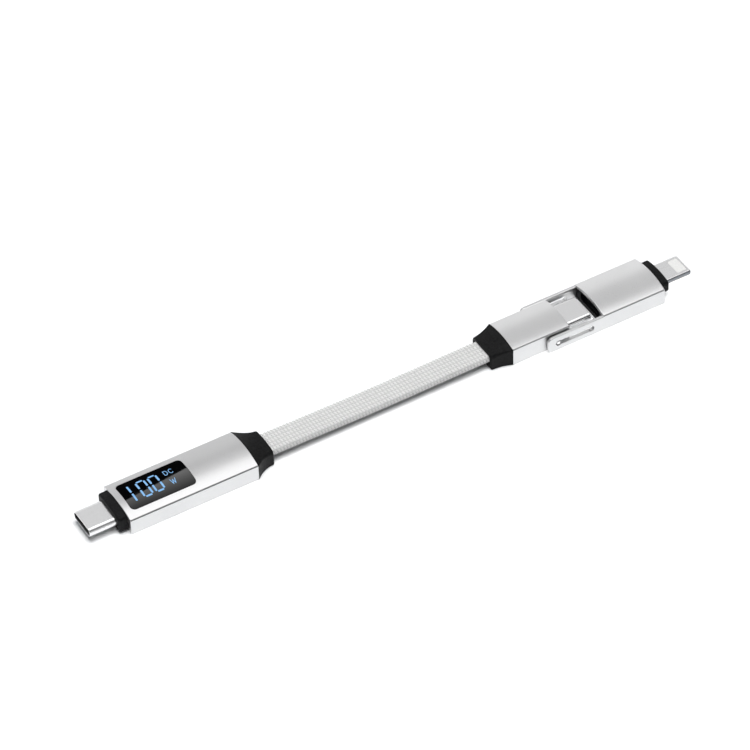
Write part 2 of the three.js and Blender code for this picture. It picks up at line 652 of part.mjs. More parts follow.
function eightPinFrame() {
  const half = EIGHT_PIN_WIDTH / 2;
  const plan = [
    new THREE.Vector2(eightPinX0, -half),
    ...arc(HALF_LENGTH - TIP_RADIUS, -half + TIP_RADIUS, TIP_RADIUS, -90, 0, 6),
    ...arc(HALF_LENGTH - TIP_RADIUS, half - TIP_RADIUS, TIP_RADIUS, 0, 90, 6),
    new THREE.Vector2(eightPinX0, half),
  ];
  return eightPinOpening(0, eightPinX0, HALF_LENGTH)
    .intersect(prismAlongZ(plan, 0, BODY_HEIGHT))
    .subtract(prismAlongZ(padOutline(0), 0, BODY_HEIGHT));
}

const padFace = EIGHT_PIN_THICKNESS / 2 - PAD_FIT;

function contactStrip(index, grow = 0) {
  const y = (index - (PAD_STRIPS - 1) / 2) * PAD_PITCH;
  const half = PAD_STRIP_WIDTH / 2 + grow;
  return box(
    [padX0 + PAD_STRIP_MARGIN - grow, y - half, PLUG_Z - padFace - grow],
    [padX1 - PAD_STRIP_MARGIN + grow, y + half, PLUG_Z - padFace + PAD_STRIP_DEPTH + grow]);
}

let contactPad = prismAlongZ(padOutline(-PAD_FIT), PLUG_Z - padFace, PLUG_Z + padFace);
for (let i = 0; i < PAD_STRIPS; i += 1) {
  contactPad = contactPad.subtract(contactStrip(i, CONTACT_GAP));
  add(`contact_strip_${i + 1}`, contactStrip(i), GOLD);
}
add('eight_pin_frame', eightPinFrame(), STEEL);
add('contact_pad', contactPad, IVORY);

export default part;
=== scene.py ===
"""A short braided charging cable with a power meter head and a sliding flip adapter, on a pale table.

Shapes are made in millimetres in the CAD frame, then scaled to metres: +X runs from the meter head to
the adapter, +Z is up and z = 0 is the table.
"""
import json
import math

import bmesh
import bpy
from mathutils import Matrix, Vector


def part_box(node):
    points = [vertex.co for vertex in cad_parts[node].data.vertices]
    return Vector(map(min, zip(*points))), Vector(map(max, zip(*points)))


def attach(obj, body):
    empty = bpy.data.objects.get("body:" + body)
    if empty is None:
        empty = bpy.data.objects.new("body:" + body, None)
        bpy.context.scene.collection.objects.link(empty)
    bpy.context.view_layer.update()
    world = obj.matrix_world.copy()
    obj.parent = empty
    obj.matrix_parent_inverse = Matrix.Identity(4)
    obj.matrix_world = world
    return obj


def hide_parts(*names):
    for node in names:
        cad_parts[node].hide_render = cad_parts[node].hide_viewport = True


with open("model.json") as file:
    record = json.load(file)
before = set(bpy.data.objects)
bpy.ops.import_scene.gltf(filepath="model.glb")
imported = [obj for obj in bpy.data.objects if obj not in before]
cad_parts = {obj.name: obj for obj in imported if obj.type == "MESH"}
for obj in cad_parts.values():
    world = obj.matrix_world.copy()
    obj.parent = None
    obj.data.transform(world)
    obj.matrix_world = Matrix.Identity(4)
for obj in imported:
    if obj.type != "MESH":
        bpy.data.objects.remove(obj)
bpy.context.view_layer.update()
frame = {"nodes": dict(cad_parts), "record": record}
nodes = frame["nodes"]
MM = 0.001


def span(node):
    """A CAD node's lowest and highest corners, in millimetres."""
    low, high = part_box(node)
    return low / MM, high / MM


# ---- Sizes read from the frame, and the few that only the looks need ----

meter_low, meter_high = span("meter_shell")
head_low, head_high = span("head_shell")
adapter_high = span("adapter_shell")[1]
rod_low, rod_high = span("pivot_rod")
plug_low, plug_high = span("meter_plug_shell")
head_plug_low, head_plug_high = span("head_plug_shell")
eight_low, eight_high = span("eight_pin_frame")
lens_low, lens_high = span("display_lens")
pad_low, pad_high = span("contact_pad")
bezel_low, bezel_high = span("adapter_bezel")
receptacle_low, receptacle_high = span("receptacle_shell")
meter_boot_end = span("meter_boot")[1].x
head_boot_end = span("head_boot")[0].x
meter_collar_front = span("meter_collar")[0].x
adapter_collar_front = span("adapter_collar")[1].x

HALF_WIDTH = meter_high.y
HEIGHT = meter_high.z
SIDE_HEIGHT = 4.5
RISE = HEIGHT - SIDE_HEIGHT
CROWN_RADIUS = (HALF_WIDTH**2 + RISE**2) / (2 * RISE)
CROWN_CENTRE = HEIGHT - CROWN_RADIUS
ARCH_STEPS = 40
# Only the arched top lies above this height.
ARCH_BASE = SIDE_HEIGHT + 0.1
PLUG_Z = (plug_low.z + plug_high.z) / 2
PIVOT_X = (rod_low.x + rod_high.x) / 2
PIVOT_Z = (rod_low.z + rod_high.z) / 2
WALL = 0.8
HEAD_WALL = 0.7
PLUG_WALL = 0.25
FIT = 0.04
EDGE = 0.25
CHAMFER = 0.28
END_EDGE = 0.2
MOUTH_CUT = 1.2
FRONT_WALL = 0.8
METER_COLLAR = {"width": 10.7, "bottom": 0.4, "drop": 0.3, "corner": 0.9}
ADAPTER_COLLAR = {"width": 10.1, "bottom": 1.1, "drop": 0.6, "corner": 1.2}
ARM_THICKNESS = 1.0
ARM_HEIGHT = 4.4
ARM_TAIL = 3.0
ARM_RADIUS = 1.3
ARM_INNER_EDGE = 0.45
ADAPTER_LENGTH = 17.9
ADAPTER_REAR = adapter_high.x - ADAPTER_LENGTH
SLOT_HALF = 0.64
POCKET_RADIUS = 0.8
SLOT_LENGTH = 9.45
CABLE_WIDTH = 7.2
CABLE_THICKNESS = 2.2
BOOT_SPIGOT = 3.0
# How far a tool that cuts right across the object reaches to each side.
CUT_REACH = 8.0

# ---- Camera ----

AIM = Vector((-0.26, 7.5, 2.0)) * MM
AZIMUTH = math.radians(29.396)
ELEVATION = math.radians(43.879)
ROLL = math.radians(-1.906)
DISTANCE = 1.019
LENS = 202.17


def place_camera():
    """A long lens looking down at the aim point, turned slightly about its own axis."""
    level = math.cos(ELEVATION)
    back = Vector((-math.sin(AZIMUTH) * level, -math.cos(AZIMUTH) * level, math.sin(ELEVATION)))
    right = Vector((math.cos(AZIMUTH), -math.sin(AZIMUTH), 0))
    up = back.cross(right)
    turned_right = math.cos(ROLL) * right + math.sin(ROLL) * up
    turned_up = back.cross(turned_right)
    data = bpy.data.cameras.new("camera")
    data.lens = LENS
    data.sensor_width = 36
    data.clip_start = 0.01
    data.clip_end = 50
    camera = bpy.data.objects.new("camera", data)
    rotation = Matrix((turned_right, turned_up, back)).transposed()
    camera.matrix_world = Matrix.Translation(AIM + back * DISTANCE) @ rotation.to_4x4()
    bpy.context.scene.collection.objects.link(camera)
    bpy.context.scene.camera = camera


place_camera()

# ---- Outlines: lists of (u, v) points, anticlockwise ----


def arc(cx, cy, radius, start, end, steps):
    """Points of an arc between two angles in degrees, both ends included."""
    points = []
    for i in range(steps + 1):
        angle = math.radians(start + (end - start) * i / steps)
        points.append((cx + radius * math.cos(angle), cy + radius * math.sin(angle)))
    return points


def rounded_rectangle(cx, cy, width, height, radius, steps=5):
    """A rectangle round a centre, with an arc at each corner."""
    x, y = width / 2 - radius, height / 2 - radius
    return (arc(cx + x, cy + y, radius, 0, 90, steps)
            + arc(cx - x, cy + y, radius, 90, 180, steps)
            + arc(cx - x, cy - y, radius, 180, 270, steps)
            + arc(cx + x, cy - y, radius, 270, 360, steps))


def stadium(cx, cy, width, height, steps=12):
    """A flat oval: two straight sides and two half circles."""
    x = (width - height) / 2
    return arc(cx + x, cy, height / 2, -90, 90, steps) + arc(cx - x, cy, height / 2, 90, 270, steps)


def crown(y, drop=0.0):
    """Height of the arched top at a distance y from the middle, lowered by drop."""
    return CROWN_CENTRE + math.sqrt((CROWN_RADIUS - drop) ** 2 - y**2)


def crowned(width, bottom, drop, corner, steps):
    """The section of heads and rings: flat underside, upright sides and arched top, lowered by drop."""
    inner = width / 2 - corner
    upper = crown(inner, drop) - corner
    lean = math.degrees(math.asin(inner / (CROWN_RADIUS - drop)))
    top = arc(0, CROWN_CENTRE, CROWN_RADIUS - drop, 90 - lean, 90 + lean, ARCH_STEPS)
    return (arc(inner, upper, corner, 0, 90 - lean, steps) + top[1:-1]
            + arc(-inner, upper, corner, 90 + lean, 180, steps)
            + arc(-inner, bottom + corner, corner, 180, 270, steps)
            + arc(inner, bottom + corner, corner, 270, 360, steps))


def chamfered(width, bottom, drop, corner):
    """The same section with a flat chamfer, slightly rounded, between each side and the arched top."""
    half = width / 2
    blend = 0.18 * corner
    side = crown(half - corner, drop) - 0.9 * corner
    inner = half - corner
    lean = math.degrees(math.asin((inner - blend) / (CROWN_RADIUS - drop)))
    foot = Vector((half, side))
    shoulder = Vector((inner, crown(inner, drop)))
    step = (shoulder - foot).normalized() * blend
    right = [(foot.x, foot.y - blend), tuple(foot + step), tuple(shoulder - step)]
    left = [(-x, z) for x, z in reversed(right)]
    return (right + arc(0, CROWN_CENTRE, CROWN_RADIUS - drop, 90 - lean, 90 + lean, ARCH_STEPS) + left
            + arc(-inner, bottom + corner, corner, 180, 270, 3)
            + arc(inner, bottom + corner, corner, 270, 360, 3))


# ---- Solids ----

AXES = {
    "X": lambda offset, u, v: (offset, u, v),
    "Y": lambda offset, u, v: (u, offset, v),
    "Z": lambda offset, u, v: (u, v, offset),
}


def loft(name, rings, axis="X"):
    """A closed solid through (offset, outline) rings, all with the same number of points."""
    place = AXES[axis]
    mesh = bmesh.new()
    rows = [[mesh.verts.new(place(offset, u, v)) for u, v in outline] for offset, outline in rings]
    for row, following in zip(rows, rows[1:]):
        for i in range(len(row)):
            j = (i + 1) % len(row)
            mesh.faces.new((row[i], row[j], following[j], following[i]))
    mesh.faces.new(reversed(rows[0]))
    mesh.faces.new(rows[-1])
    return as_object(name, mesh)


def as_object(name, mesh):
    """Turns a bmesh into an object of the scene."""
    bmesh.ops.recalc_face_normals(mesh, faces=mesh.faces[:])
    data = bpy.data.meshes.new(name)
    mesh.to_mesh(data)
    mesh.free()
    made = bpy.data.objects.new(name, data)
    bpy.context.scene.collection.objects.link(made)
    return made


def bar(name, outline_at, low, high, low_edge=0.0, high_edge=0.0, axis="X", steps=3):
    """A bar from low to high whose end edges are rounded. outline_at(inset) gives the section."""
    rings = []
    for i in range(steps + 1 if low_edge else 1):
        angle = math.radians(90 * i / steps) if low_edge else 0
        ahead, inset = low_edge * (1 - math.cos(angle)), low_edge * (1 - math.sin(angle))
        rings.append((low + ahead, outline_at(inset)))
    for i in range(steps + 1 if high_edge else 1):
        angle = math.radians(90 - 90 * i / steps) if high_edge else 0
        behind, inset = high_edge * (1 - math.cos(angle)), high_edge * (1 - math.sin(angle))
        rings.append((high - behind, outline_at(inset)))
    return loft(name, rings, axis)


def settle(made):
    """Replaces an object's mesh with the result of its modifiers."""
    graph = bpy.context.evaluated_depsgraph_get()
    old = made.data
    made.data = bpy.data.meshes.new_from_object(made.evaluated_get(graph))
    made.modifiers.clear()
    bpy.data.meshes.remove(old)


def combine(made, operation, *tools):
    """Joins or cuts a solid with others, which are used up."""
    for tool in tools:
        modifier = made.modifiers.new("combine", "BOOLEAN")
        modifier.operation = operation
        modifier.solver = "EXACT"
        modifier.object = tool
        settle(made)
        bpy.data.objects.remove(tool)
    return made


def cut(made, *tools):
    """Takes the tools' shapes out of a solid."""
    return combine(made, "DIFFERENCE", *tools)


def join(made, *tools):
    """Adds the tools' shapes to a solid."""
    return combine(made, "UNION", *tools)


def near(a, b, gap=0.01):
    return abs(a - b) < gap


def soften(made, width, where, segments=2, angle=35):
    """Rounds the sharp edges whose middle passes where."""
    mesh = bmesh.new()
    mesh.from_mesh(made.data)
    bmesh.ops.dissolve_degenerate(mesh, edges=mesh.edges[:], dist=1e-4)
    sharp = math.radians(angle)
    folds = [e for e in mesh.edges if len(e.link_faces) == 2 and e.calc_face_angle() > sharp]
    edges = [e for e in folds if where((e.verts[0].co + e.verts[1].co) / 2)]
    bmesh.ops.bevel(mesh, geom=edges, offset=width, offset_type="OFFSET", segments=segments, profile=0.5,
                    affect="EDGES", clamp_overlap=False)
    mesh.to_mesh(made.data)
    mesh.free()
    return made


def piece(made, body, material, replaced=(), sharp=40):
    """Finishes a solid made in millimetres: smooth shading, metres, material, body and slot."""
    for polygon in made.data.polygons:
        polygon.use_smooth = True
    made.data.set_sharp_from_angle(angle=math.radians(sharp))
    weighted = made.modifiers.new("shading", "WEIGHTED_NORMAL")
    weighted.keep_sharp = True
    weighted.weight = 60
    settle(made)
    made.data.transform(Matrix.Scale(MM, 4))
    indices = [polygon.material_index for polygon in made.data.polygons]
    made.data.materials.clear()
    for each in material if isinstance(material, (list, tuple)) else [material]:
        made.data.materials.append(each)
    for polygon, index in zip(made.data.polygons, indices):
        polygon.material_index = index
    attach(made, body)
    if replaced:
        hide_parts(*replaced)
    return made


# ---- Materials ----


class Look:
    """A Principled material being put together from nodes."""

    def __init__(self, name, color, roughness, metallic=0.0, **fixed):
        self.material = bpy.data.materials.new(name)
        self.material.use_nodes = True
        self.tree = self.material.node_tree
        self.shader = self.tree.nodes["Principled BSDF"]
        self.shader.inputs["Base Color"].default_value = (*color, 1)
        self.shader.inputs["Roughness"].default_value = roughness
        self.shader.inputs["Metallic"].default_value = metallic
        for socket, value in fixed.items():
            self.shader.inputs[socket.replace("_", " ")].default_value = value
        self.coordinates = self.tree.nodes.new("ShaderNodeTexCoord")

    def node(self, kind, **values):
        made = self.tree.nodes.new(kind)
        for key, value in values.items():
            setattr(made, key, value)
        return made

    def link(self, source, target):
        self.tree.links.new(source, target)

    def noise(self, scale, detail=3.0, stretch=(1, 1, 1), source="Object"):
        """Noise in the piece's own coordinates. scale is in features per millimetre."""
        mapping = self.node("ShaderNodeMapping")
        unit = MM if source == "Object" else 1
        mapping.inputs["Scale"].default_value = [s / unit for s in stretch]
        self.link(self.coordinates.outputs[source], mapping.inputs["Vector"])
        made = self.node("ShaderNodeTexNoise")
        made.inputs["Scale"].default_value = scale
        made.inputs["Detail"].default_value = detail
        self.link(mapping.outputs["Vector"], made.inputs["Vector"])
        return made.outputs["Fac"]

    def spread(self, source, low, high, from_low=0.3, from_high=0.7):
        """A 0-to-1 source mapped to a range."""
        made = self.node("ShaderNodeMapRange")
        made.inputs["From Min"].default_value = from_low
        made.inputs["From Max"].default_value = from_high
        made.inputs["To Min"].default_value = low
        made.inputs["To Max"].default_value = high
        self.link(source, made.inputs["Value"])
        return made.outputs["Result"]

    def mix(self, factor, first, second):
        """A colour between two, each a colour or a socket."""
        made = self.node("ShaderNodeMix", data_type="RGBA")
        self.link(factor, made.inputs["Factor"])
        color_inputs = [s for s in made.inputs if s.type == "RGBA"]
        for socket, value in zip(color_inputs, (first, second)):
            if isinstance(value, bpy.types.NodeSocket):
                self.link(value, socket)
            else:
                socket.default_value = (*value, 1)
        return [s for s in made.outputs if s.type == "RGBA"][0]

    def color(self, source):
        self.link(source, self.shader.inputs["Base Color"])

    def roughness(self, source):
        self.link(source, self.shader.inputs["Roughness"])

    def bump(self, *layers):
        """layers are (height source, depth in millimetres)."""
        normal = None
        for source, depth in layers:
            made = self.node("ShaderNodeBump")
            made.inputs["Strength"].default_value = 1.0
            made.inputs["Distance"].default_value = depth * MM
            self.link(source, made.inputs["Height"])
            if normal:
                self.link(normal, made.inputs["Normal"])
            normal = made.outputs["Normal"]
        self.link(normal, self.shader.inputs["Normal"])


def aluminium():
    """Bead-blasted and anodised: fine grain and faint clouds of tone."""
    look = Look("satin_aluminium", (0.68, 0.68, 0.683), 0.31, 1.0)
    grain = look.noise(7.0, 4)
    cloud = look.noise(0.12, 2)
    look.color(look.mix(look.spread(cloud, 0, 1), (0.675, 0.675, 0.678), (0.70, 0.70, 0.703)))
    look.roughness(look.spread(grain, 0.27, 0.35))
    look.bump((grain, 0.0025), (look.noise(2.2, 2), 0.003))
    return look.material


def steel():
    """Plated sheet steel with a faint brushed direction along the plug."""
    look = Look("plated_steel", (0.88, 0.88, 0.885), 0.2, 1.0)
    streak = look.noise(5.0, 3, (0.08, 1, 1))
    look.color(look.mix(look.spread(streak, 0, 1), (0.86, 0.86, 0.865), (0.90, 0.90, 0.905)))
    look.roughness(look.spread(look.noise(3.0, 3), 0.16, 0.26))
    look.bump((streak, 0.0008))
    return look.material


def painted_shade_steel():
    """A darker copy of the plated steel. It is painted shade for the dark surroundings reflected in the
    tongue's narrow sides, and for the shade inside the receptacle.
    """
    look = Look("steel_with_painted_shade", (0.24, 0.25, 0.265), 0.35, 1.0)
    streak = look.noise(5.0, 3, (0.08, 1, 1))
    look.color(look.mix(look.spread(streak, 0, 1), (0.20, 0.21, 0.225), (0.28, 0.29, 0.305)))
    look.roughness(look.spread(look.noise(3.0, 3), 0.3, 0.42))
    look.bump((streak, 0.001))
    return look.material


def black_plastic():
    """Moulded plastic with a fine spark-eroded grain."""
    look = Look("black_plastic", (0.005, 0.005, 0.0053), 0.5, Specular_IOR_Level=0.12)
    grain = look.noise(5.5, 3)
    speckle = look.noise(2.6, 3)
    look.color(look.mix(look.spread(speckle, 0, 1), (0.001, 0.001, 0.0012), (0.010, 0.010, 0.0104)))
    look.roughness(look.spread(look.noise(2.0, 3), 0.42, 0.58))
    look.bump((grain, 0.012), (look.noise(1.1, 2), 0.006))
    return look.material


def display_glass():
    """Polished black window with faint smudges."""
    look = Look("display_glass", (0.0015, 0.0015, 0.0018), 0.04, IOR=1.5)
    smudge = look.spread(look.noise(0.6, 3), 0, 1)
    look.color(look.mix(smudge, (0.001, 0.001, 0.0012), (0.002, 0.002, 0.0024)))
    look.roughness(look.spread(look.noise(0.35, 4), 0.02, 0.07))
    return look.material


def display_light():
    """Lit blue segments, with a slight unevenness in the glow."""
    look = Look("display_light", (0.02, 0.03, 0.05), 0.6)
    glow = look.mix(look.spread(look.noise(1.5, 2), 0, 1), (0.21, 0.46, 0.80), (0.27, 0.54, 0.88))
    look.link(glow, look.shader.inputs["Emission Color"])
    look.shader.inputs["Emission Strength"].default_value = 1.0
    look.shader.inputs["Specular IOR Level"].default_value = 0.1
    return look.material


def yarn(name, dark, light, sheen):
    """Nylon yarn: filaments run along each ribbon, U runs across it and V along it."""
    look = Look(name, light, 0.62, Sheen_Weight=sheen, Sheen_Roughness=0.4)
    filaments = look.noise(1.0, 2, (9.0, 0.6, 1), "UV")
    tint = look.noise(0.9, 3)
    base = look.mix(look.spread(filaments, 0, 1), dark, light)
    look.color(look.mix(look.spread(tint, 0, 0.3), base, dark))
    look.roughness(look.spread(filaments, 0.5, 0.72))
    look.bump((filaments, 0.02), (look.noise(6.0, 2), 0.008))
    return look.material


def yarn_core():
    """The inner jacket that shows only between the yarns: its own colour, made darker to add painted
    shade in the gaps between them.
    """
    look = Look("inner_jacket_and_gap_shade", (0.24, 0.24, 0.24), 0.7)
    look.color(look.mix(look.spread(look.noise(3.0, 3), 0, 1), (0.20, 0.20, 0.20), (0.28, 0.28, 0.28)))
    look.roughness(look.spread(look.noise(2.0, 3), 0.6, 0.8))
    look.bump((look.noise(4.0, 2), 0.01))
    return look.material


def ivory():
    """The off-white moulded pad on the eight-pin plug."""
    look = Look("ivory_plastic", (0.62, 0.62, 0.61), 0.4)
    look.color(look.mix(look.spread(look.noise(2.0, 3), 0, 1), (0.59, 0.59, 0.58), (0.65, 0.65, 0.64)))
    look.roughness(look.spread(look.noise(1.5, 3), 0.32, 0.46))
    look.bump((look.noise(5.0, 2), 0.002))
    return look.material


def gold():
    """Plated contacts with fine drawing marks."""
    look = Look("gold_contacts", (0.83, 0.62, 0.30), 0.25, 1.0)
    streak = look.noise(6.0, 3, (0.1, 1, 1))
    look.color(look.mix(look.spread(streak, 0, 1), (0.78, 0.56, 0.26), (0.88, 0.68, 0.36)))
    look.roughness(look.spread(look.noise(4.0, 3), 0.2, 0.34))
    look.bump((streak, 0.001))
    return look.material


def circuit_board():
    """Green solder mask over raised copper tracks."""
    look = Look("circuit_board", (0.01, 0.10, 0.05), 0.35)
    cells = look.node("ShaderNodeTexVoronoi", distance="MANHATTAN", feature="DISTANCE_TO_EDGE")
    mapping = look.node("ShaderNodeMapping")
    mapping.inputs["Scale"].default_value = (1 / MM, 1 / MM, 1 / MM)
    look.link(look.coordinates.outputs["Object"], mapping.inputs["Vector"])
    look.link(mapping.outputs["Vector"], cells.inputs["Vector"])
    cells.inputs["Scale"].default_value = 0.9
    tracks = look.spread(cells.outputs["Distance"], 0, 1, 0.05, 0.09)
    look.color(look.mix(tracks, (0.03, 0.20, 0.10), (0.008, 0.085, 0.045)))
    look.roughness(look.spread(look.noise(1.5, 3), 0.28, 0.42))
    look.bump((tracks, 0.01))
    return look.material


def chip_plastic():
    """The dark epoxy of the chips."""
    look = Look("chip_plastic", (0.02, 0.02, 0.022), 0.55)
    grain = look.noise(4.0, 3)
    look.color(look.mix(look.spread(grain, 0, 1), (0.015, 0.015, 0.017), (0.03, 0.03, 0.032)))
    look.roughness(look.spread(look.noise(2.0, 3), 0.48, 0.64))
    look.bump((grain, 0.006))
    return look.material


ALUMINIUM = aluminium()
STEEL = steel()
# A darker copy of the steel, as painted shade for the tongue's sides and the receptacle.
PAINTED_SHADE_STEEL = painted_shade_steel()
BLACK = black_plastic()
GLASS = display_glass()
LIT = display_light()
# The second family is the same yarn made darker and given less sheen. This is painted shade for how the
# light catches the yarns that run the other way.
YARN = yarn("nylon_yarn", (0.555, 0.555, 0.55), (0.68, 0.68, 0.675), 0.15)
PAINTED_SHADE_YARN = yarn("nylon_yarn_painted_shade", (0.445, 0.445, 0.445), (0.535, 0.535, 0.533), 0.05)
JACKET_AND_GAP_SHADE = yarn_core()
IVORY = ivory()
GOLD = gold()
BOARD = circuit_board()
CHIP = chip_plastic()

# ---- Cable: a flat round-edged core inside a braid of two crossing families of yarns ----

CABLE_ROUTE = [
    (-38.1, 2.7), (-35.2, 2.7), (-31, 2.68), (-26, 2.62), (-21, 2.54),
    (-15.5, 2.46), (-10, 2.41), (-5.1, 2.4), (0, 2.41), (5.3, 2.46),
    (10.8, 2.54), (15.8, 2.62), (20.8, 2.68), (25.5, 2.7), (27.9, 2.7),
]
# The yarns of family 1 wind one way round the core and those of family -1 the other. Each rises and
# falls by the wave at its crossings, and sways sideways between them. Steps are those in each crossing.
YARNS_PER_FAMILY = 12
YARN_WIDTHS = {1: 0.58, -1: 0.54}
YARN_THICKNESS = 0.25
YARN_WAVE = 0.11
YARN_SWAY = 0.07
AXIAL_PITCH = 0.87
YARN_STEPS = 4
# A yarn's section in shares of half its width and half its thickness.
YARN_SECTION = [(-1, 0), (-0.62, 0.82), (0, 1), (0.62, 0.82), (1, 0), (0, -0.7)]
BRAID_DEPTH = YARN_THICKNESS / 2 + YARN_WAVE
CORE_CUTS = 60

# The places of the two families' materials, and of the core's, in the braid's list of materials.
FAMILY_INDEX = {1: 0, -1: 2}
CORE_INDEX = 1


def route_height(x):
    """Height of the cable's middle line, straight between the route's points."""
    for i in range(len(CABLE_ROUTE) - 1):
        (x0, z0), (x1, z1) = CABLE_ROUTE[i], CABLE_ROUTE[i + 1]
        if x <= x1:
            t = min(max((x - x0) / (x1 - x0), 0), 1)
            return z0 + (z1 - z0) * t
    return CABLE_ROUTE[-1][1]


def smooth_height(x):
    """The same height with the route's corners rounded off."""
    return (route_height(x - 2) + 2 * route_height(x) + route_height(x + 2)) / 4


def end_point(middle, radius, angle):
    """Point and outward normal on the half circle at one end of a stadium."""
    normal = (math.cos(angle), math.sin(angle))
    return (middle + radius * normal[0], radius * normal[1]), normal


def stadium_point(s, width, height):
    """Point and outward normal at a distance s round a stadium, starting at its lower middle."""
    radius = height / 2
    flat = width - height
    turn = math.pi * radius
    s %= 2 * flat + 2 * turn
    if s < flat / 2:
        return (s, -radius), (0, -1)
    s -= flat / 2
    if s < turn:
        return end_point(flat / 2, radius, -math.pi / 2 + s / radius)
    s -= turn
    if s < flat:
        return (flat / 2 - s, radius), (0, 1)
    s -= flat
    if s < turn:
        return end_point(-flat / 2, radius, math.pi / 2 + s / radius)
    s -= turn
    return (-flat / 2 + s, -radius), (0, -1)


def yarn_rows(family, index, xs, perimeter, crossing):
    """The sections of one yarn along the cable. It sways as it goes over and under the other family."""
    width, height = CABLE_WIDTH - 2 * BRAID_DEPTH, CABLE_THICKNESS - 2 * BRAID_DEPTH
    slope = perimeter / (YARNS_PER_FAMILY * AXIAL_PITCH)
    rows = []
    for x in xs:
        phase = math.pi * (x / crossing + (0 if family > 0 else 1))
        travel = slope * x + YARN_SWAY * math.sin(phase)
        s = perimeter * index / YARNS_PER_FAMILY + family * travel
        tilt = math.atan(slope + YARN_SWAY * math.pi / crossing * math.cos(phase))
        lift = YARN_WAVE * math.cos(phase)
        row = []
        for across, up in YARN_SECTION:
            side = across * YARN_WIDTHS[family] / 2
            around = s + side * math.cos(tilt)
            along = x - family * side * math.sin(tilt)
            (y, z), (ny, nz) = stadium_point(around, width, height)
            out = lift + up * YARN_THICKNESS / 2
            row.append((along, y + ny * out, smooth_height(along) + z + nz * out))
        rows.append(row)
    return rows


def add_tube(mesh, rows, material_index, layer=None):
    """Adds a closed tube through rows of points. With a UV layer, U runs round it and V along it."""
    rings = [[mesh.verts.new(point) for point in row] for row in rows]
    around = len(rows[0])
    for i in range(len(rings) - 1):
        for j in range(around):
            k = (j + 1) % around
            face = mesh.faces.new((rings[i][j], rings[i][k], rings[i + 1][k], rings[i + 1][j]))
            face.material_index = material_index
            if layer:
                for loop, (u, v) in zip(face.loops, ((j, i), (j + 1, i), (j + 1, i + 1), (j, i + 1))):
                    loop[layer].uv = (u / around, v / YARN_STEPS)
    for ring in (rings[0], rings[-1]):
        mesh.faces.new(ring).material_index = material_index


def braid():
    """One mesh: every yarn as a flat ribbon that goes over and under, and the core inside them."""
    width, height = CABLE_WIDTH - 2 * BRAID_DEPTH, CABLE_THICKNESS - 2 * BRAID_DEPTH
    perimeter = 2 * (width - height) + math.pi * height
    crossing = AXIAL_PITCH / 2
    start, end = CABLE_ROUTE[0][0] + 0.2, CABLE_ROUTE[-1][0] - 0.2
    mesh = bmesh.new()
    layer = mesh.loops.layers.uv.new("UVMap")
    count = int((end - start) / crossing * YARN_STEPS)
    xs = [start + (end - start) * i / count for i in range(count + 1)]
    for family in (1, -1):
        for index in range(YARNS_PER_FAMILY):
            rows = yarn_rows(family, index, xs, perimeter, crossing)
            add_tube(mesh, rows, FAMILY_INDEX[family], layer)
    outline = stadium(0, 0, width - YARN_THICKNESS, height - YARN_THICKNESS, 8)
    core = []
    for i in range(CORE_CUTS + 1):
        x = start + (end - start) * i / CORE_CUTS
        core.append([(x, y, smooth_height(x) + z) for y, z in outline])
    add_tube(mesh, core, CORE_INDEX)
    return as_object("cable_braid", mesh)


cable = piece(braid(), "cable_assembly", [YARN, JACKET_AND_GAP_SHADE, PAINTED_SHADE_YARN], ["braided_cable"],
              sharp=80)

# ---- Shared shapes ----


def crowned_bar(name, width, low, high, bottom, drop, corner=EDGE, low_edge=0.0, high_edge=0.0, steps=3):
    """A bar with the heads' section. bottom and drop are how far it stays inside that section."""
    def outline_at(inset):
        return crowned(width - 2 * inset, bottom + inset, drop + inset, max(corner - inset, 0.04), steps)
    return bar(name, outline_at, low, high, low_edge, high_edge, steps=steps)


def shell_bar(name, width, low, high, low_edge, high_edge):
    """The outside of a metal head, with chamfered long edges and rounded end edges."""
    def outline_at(inset):
        return chamfered(width - 2 * inset, inset, inset, CHAMFER - inset / 2)
    return bar(name, outline_at, low, high, low_edge, high_edge)


def stadium_bar(name, width, height, low, high, low_edge=0.0, high_edge=0.0, z=PLUG_Z):
    """A flat oval bar along X."""
    return bar(name, lambda inset: stadium(0, z, width - 2 * inset, height - 2 * inset), low, high,
               low_edge, high_edge, steps=4)


def collar_bar(name, size, low, high, grow=0.0, low_edge=0.0, high_edge=0.0):
    """The outside of a black ring, made larger all round by grow."""
    bottom, drop = size["bottom"] - grow, size["drop"] - grow
    return crowned_bar(name, size["width"] + 2 * grow, low, high, bottom, drop, size["corner"],
                       low_edge, high_edge, 6)


def rod_outline(radius):
    """A circle round the pivot's axis."""
    return arc(PIVOT_X, PIVOT_Z, radius, 0, 352.5, 47)


# ---- Meter case: crowned aluminium tube with the display window ----

WINDOW_RADIUS = 1.2
window_x = (lens_low.x + lens_high.x) / 2
window_length = lens_high.x - lens_low.x + 2 * FIT
window_width = 2 * (lens_high.y + FIT)


def window_bar(name, grow, low, high):
    """A bar along Z with the window's outline, larger all round by grow."""
    length, width = window_length + 2 * grow, window_width + 2 * grow
    outline = rounded_rectangle(window_x, 0, length, width, WINDOW_RADIUS + grow, 8)
    return bar(name, lambda inset: outline, low, high, axis="Z")


def meter_case():
    """The meter head's shell: hollow, open at the back, with the front ring's seat and the window."""
    made = shell_bar("meter_case", 2 * HALF_WIDTH, meter_low.x, meter_high.x, END_EDGE, 0.08)
    inside = 2 * (HALF_WIDTH - WALL)
    cut(made,
        crowned_bar("tool", inside, meter_low.x + FRONT_WALL, meter_high.x + 1, WALL, WALL),
        collar_bar("tool", METER_COLLAR, meter_low.x - 1, meter_low.x + MOUTH_CUT, FIT),
        window_bar("tool", 0, lens_low.z - 0.5, HEIGHT + 1))

    def at_window(p):
        return p.z > ARCH_BASE and abs(p.y) < 5 and meter_low.x + 1 < p.x < lens_high.x + 1
    soften(made, 0.05, at_window)
    soften(made, 0.08, lambda p: p.x < meter_low.x + 0.01)
    return piece(made, "cable_assembly", ALUMINIUM, ["meter_shell"])


